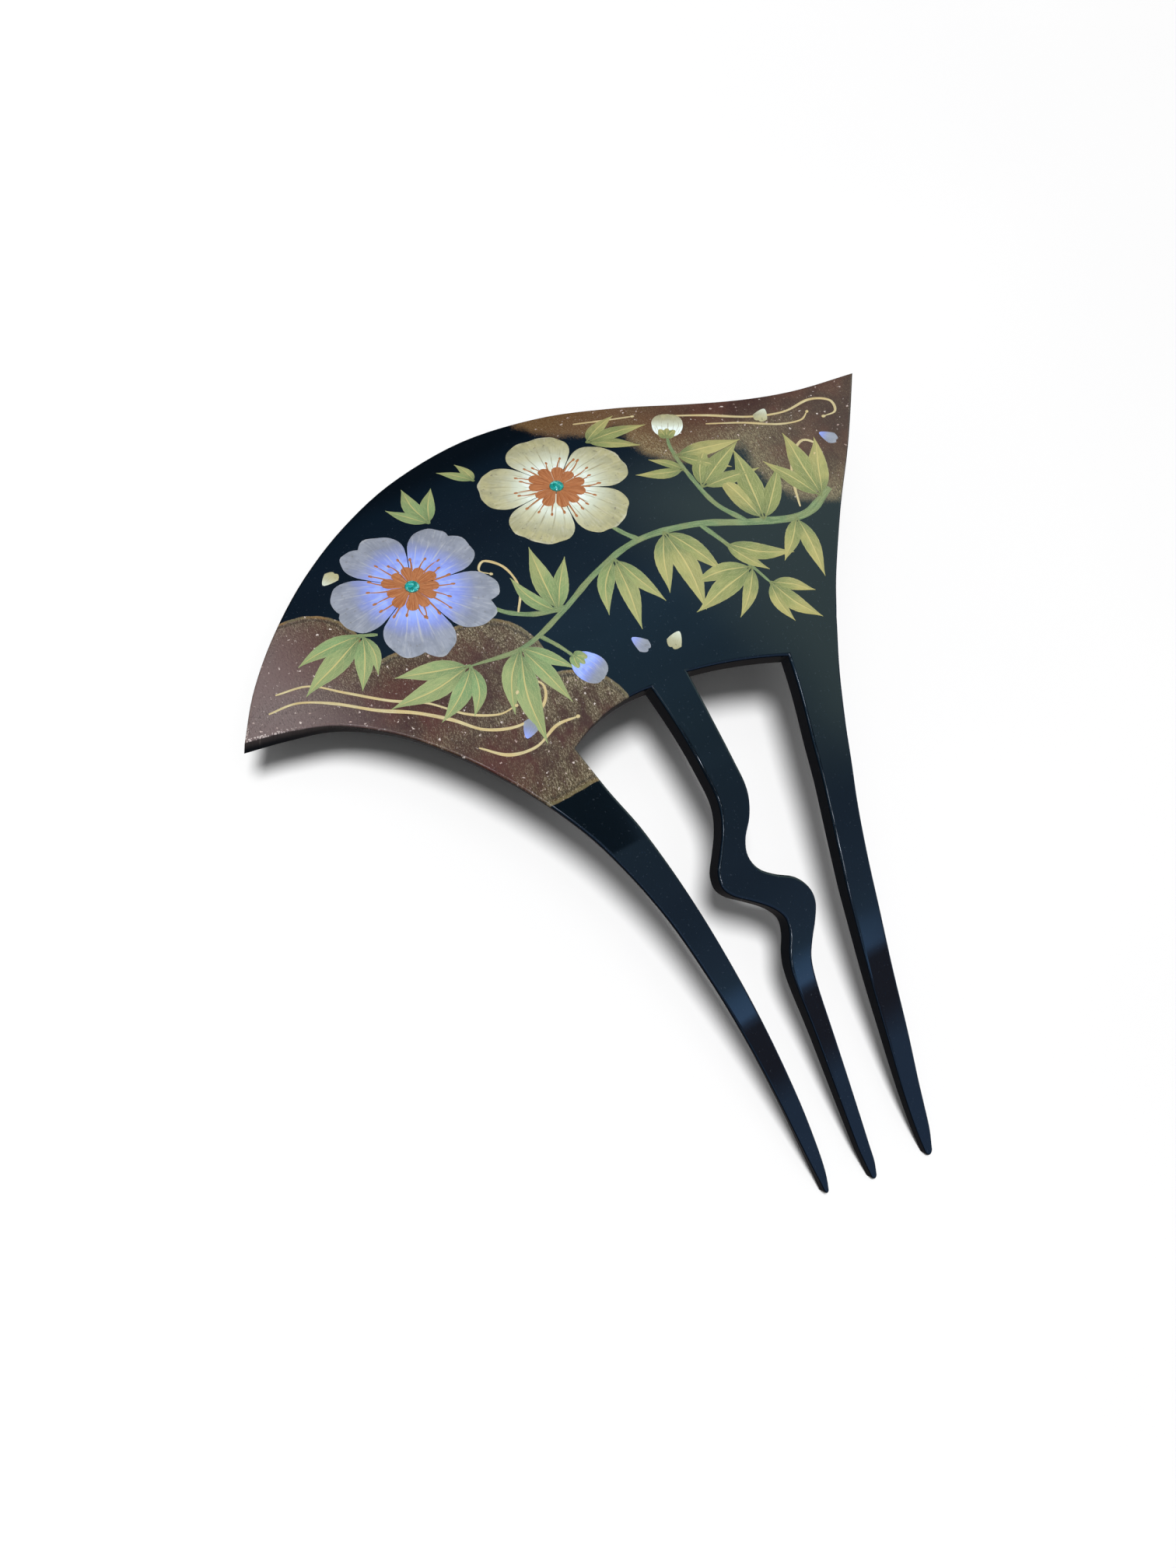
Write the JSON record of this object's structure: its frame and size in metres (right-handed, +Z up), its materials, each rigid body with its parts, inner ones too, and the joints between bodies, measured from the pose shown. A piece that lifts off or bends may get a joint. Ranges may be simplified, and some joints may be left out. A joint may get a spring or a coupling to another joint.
{
  "type": "kushi hair comb",
  "caption": "Arched fan-shaped hair comb with long prongs, the middle one kinked, in glossy dark lacquer with painted blossoms and gold-dusted mist.",
  "frame": {"origin": "bottom centre of the bounding box, on the surface that the comb lies on, arch up", "axes": "+Z up, +Y from the prong points towards the fan edge, +X to the right seen from above with the fan away from the viewer"},
  "size_m": [0.1008, 0.1102, 0.0211],
  "materials": {
    "lacquer": "polished dark blue-black lacquer with painted and gold-dusted decoration",
    "shell": "glittering teal shell chips under clear lacquer"
  },
  "bodies": {
    "root": {"comb_body": "lacquer", "shell_dot_lilac": "shell", "shell_dot_ivory": "shell"}
  },
  "joints": []
}
